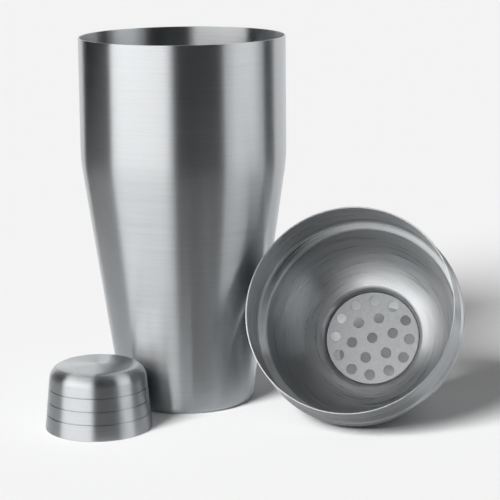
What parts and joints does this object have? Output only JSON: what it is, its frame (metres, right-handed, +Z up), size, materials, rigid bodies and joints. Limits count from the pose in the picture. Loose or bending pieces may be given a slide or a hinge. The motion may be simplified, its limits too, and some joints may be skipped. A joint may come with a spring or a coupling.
{
  "type": "cocktail shaker set",
  "caption": "Brushed steel cocktail shaker taken apart: a tapered tumbler, a domed strainer top lying on its side and a cap that doubles as a measure.",
  "frame": {"origin": "middle of the tumbler's base, on the table", "axes": "+Z up along the tumbler's axis; the strainer top lies to +X and the cap stands to -X and -Y; the strainer top's mouth faces -Y"},
  "size_m": [0.1773, 0.1238, 0.1615],
  "materials": {
    "brushed_steel": "stainless steel brushed round its axis",
    "satin_steel": "stainless steel with a matt satin face"
  },
  "bodies": {
    "tumbler": {"tumbler": "brushed_steel"},
    "strainer_top": {"strainer_top": "brushed_steel", "strainer_plate": "satin_steel"},
    "cap": {"cap": "brushed_steel"}
  },
  "joints": [
    {"name": "top_lift", "type": "slide", "parent": "tumbler", "child": "strainer_top", "axis": [0.24, -0.144, 0.96], "range_m": [0, 0.18]},
    {"name": "cap_lift", "type": "slide", "parent": "tumbler", "child": "cap", "axis": [-0.192, -0.211, 0.9584], "range_m": [0, 0.18]}
  ]
}
